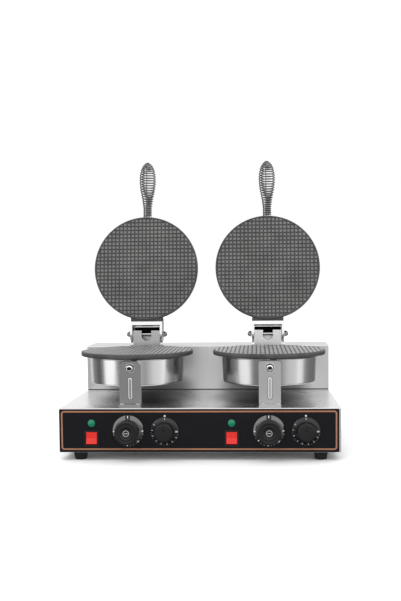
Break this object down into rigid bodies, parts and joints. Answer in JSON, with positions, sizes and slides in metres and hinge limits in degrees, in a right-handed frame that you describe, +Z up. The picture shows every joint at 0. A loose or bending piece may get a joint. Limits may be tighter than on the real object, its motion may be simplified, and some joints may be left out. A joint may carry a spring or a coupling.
{
  "type": "waffle cone maker",
  "caption": "Double waffle cone maker: steel base box and rear riser, two round hinged waffle plates with coil-wire handles, and a black control panel.",
  "frame": {"origin": "on the table, at the bottom centre of the whole object with both lids open", "axes": "+X to the user's right, +Y from the user to the back, +Z up; the control panel faces -Y"},
  "size_m": [0.494, 0.4, 0.5635],
  "materials": {
    "housing_steel": "brushed stainless sheet, fine grain",
    "strap_steel": "satin stainless strip",
    "pan_steel": "spun stainless with vertical brushing",
    "yoke_steel": "bright satin stainless",
    "heater_steel": "heat-dulled steel",
    "coil_steel": "bright spring wire",
    "fastener_steel": "plated fasteners",
    "plate_iron": "seasoned cast iron, satin",
    "panel_black": "smooth black control panel",
    "border_copper": "thin copper-coloured line",
    "knob_black": "moulded black plastic with light dial marks",
    "switch_black": "moulded black plastic",
    "control_phenolic": "dark moulded control bodies",
    "rocker_red": "glossy red translucent plastic",
    "lamp_green": "glossy green lens",
    "gland_nylon": "black nylon",
    "terminal_ceramic": "white steatite",
    "foot_rubber": "black rubber"
  },
  "bodies": {
    "base": {"base_housing": "housing_steel", "bottom_cover": "housing_steel", "front_panel": "panel_black", "panel_border": "border_copper", "rubber_feet": "foot_rubber", "foot_screws": "fastener_steel", "rear_riser": "housing_steel", "riser_back_cover": "housing_steel", "cover_screws": "fastener_steel", "cable_gland": "gland_nylon", "lead_glands": "gland_nylon", "terminal_block": "terminal_ceramic", "lamp_lenses": "lamp_green", "lamp_bodies": "switch_black", "strap_screws": "fastener_steel", "strap_bolts": "fastener_steel", "strap_nuts": "fastener_steel", "hinge_nuts": "fastener_steel", "left_front_strap": "strap_steel", "left_switch_housing": "switch_black", "left_thermostat_body": "control_phenolic", "left_timer_body": "control_phenolic", "left_lower_plate": "plate_iron", "left_lower_drum": "pan_steel", "left_lower_heater": "heater_steel", "left_rear_support": "strap_steel", "left_hinge_bracket": "strap_steel", "left_hinge_pin": "fastener_steel", "right_front_strap": "strap_steel", "right_switch_housing": "switch_black", "right_thermostat_body": "control_phenolic", "right_timer_body": "control_phenolic", "right_lower_plate": "plate_iron", "right_lower_drum": "pan_steel", "right_lower_heater": "heater_steel", "right_rear_support": "strap_steel", "right_hinge_bracket": "strap_steel", "right_hinge_pin": "fastener_steel"},
    "left_lid": {"left_upper_plate": "plate_iron", "left_upper_cover": "pan_steel", "left_upper_heater": "heater_steel", "left_lid_gland": "gland_nylon", "left_hinge_yoke": "yoke_steel", "left_yoke_screws": "fastener_steel", "left_handle_rod": "fastener_steel", "left_handle_coil": "coil_steel"},
    "left_rocker_switch": {"left_rocker": "rocker_red"},
    "left_thermostat_dial": {"left_thermostat_knob": "knob_black"},
    "left_timer_dial": {"left_timer_knob": "knob_black"},
    "right_lid": {"right_upper_plate": "plate_iron", "right_upper_cover": "pan_steel", "right_upper_heater": "heater_steel", "right_lid_gland": "gland_nylon", "right_hinge_yoke": "yoke_steel", "right_yoke_screws": "fastener_steel", "right_handle_rod": "fastener_steel", "right_handle_coil": "coil_steel"},
    "right_rocker_switch": {"right_rocker": "rocker_red"},
    "right_thermostat_dial": {"right_thermostat_knob": "knob_black"},
    "right_timer_dial": {"right_timer_knob": "knob_black"}
  },
  "joints": [
    {"name": "left_lid_hinge", "type": "hinge", "parent": "base", "child": "left_lid", "pos_m": [-0.1243, 0.0867, 0.2063], "axis": [1, 0, 0], "range_deg": [0, 97.5]},
    {"name": "left_rocker_tilt", "type": "hinge", "parent": "base", "child": "left_rocker_switch", "pos_m": [-0.189, -0.166, 0.04], "axis": [1, 0, 0], "range_deg": [0, 12]},
    {"name": "left_thermostat_turn", "type": "hinge", "parent": "base", "child": "left_thermostat_dial", "pos_m": [-0.124, -0.184, 0.0536], "axis": [0, 1, 0], "range_deg": [0, 270]},
    {"name": "left_timer_turn", "type": "hinge", "parent": "base", "child": "left_timer_dial", "pos_m": [-0.06, -0.18, 0.0524], "axis": [0, 1, 0], "range_deg": [0, 300]},
    {"name": "right_lid_hinge", "type": "hinge", "parent": "base", "child": "right_lid", "pos_m": [0.1243, 0.0867, 0.2063], "axis": [1, 0, 0], "range_deg": [0, 97.5]},
    {"name": "right_rocker_tilt", "type": "hinge", "parent": "base", "child": "right_rocker_switch", "pos_m": [0.057, -0.166, 0.04], "axis": [1, 0, 0], "range_deg": [0, 12]},
    {"name": "right_thermostat_turn", "type": "hinge", "parent": "base", "child": "right_thermostat_dial", "pos_m": [0.122, -0.184, 0.0536], "axis": [0, 1, 0], "range_deg": [0, 270]},
    {"name": "right_timer_turn", "type": "hinge", "parent": "base", "child": "right_timer_dial", "pos_m": [0.186, -0.18, 0.0524], "axis": [0, 1, 0], "range_deg": [0, 300]}
  ]
}
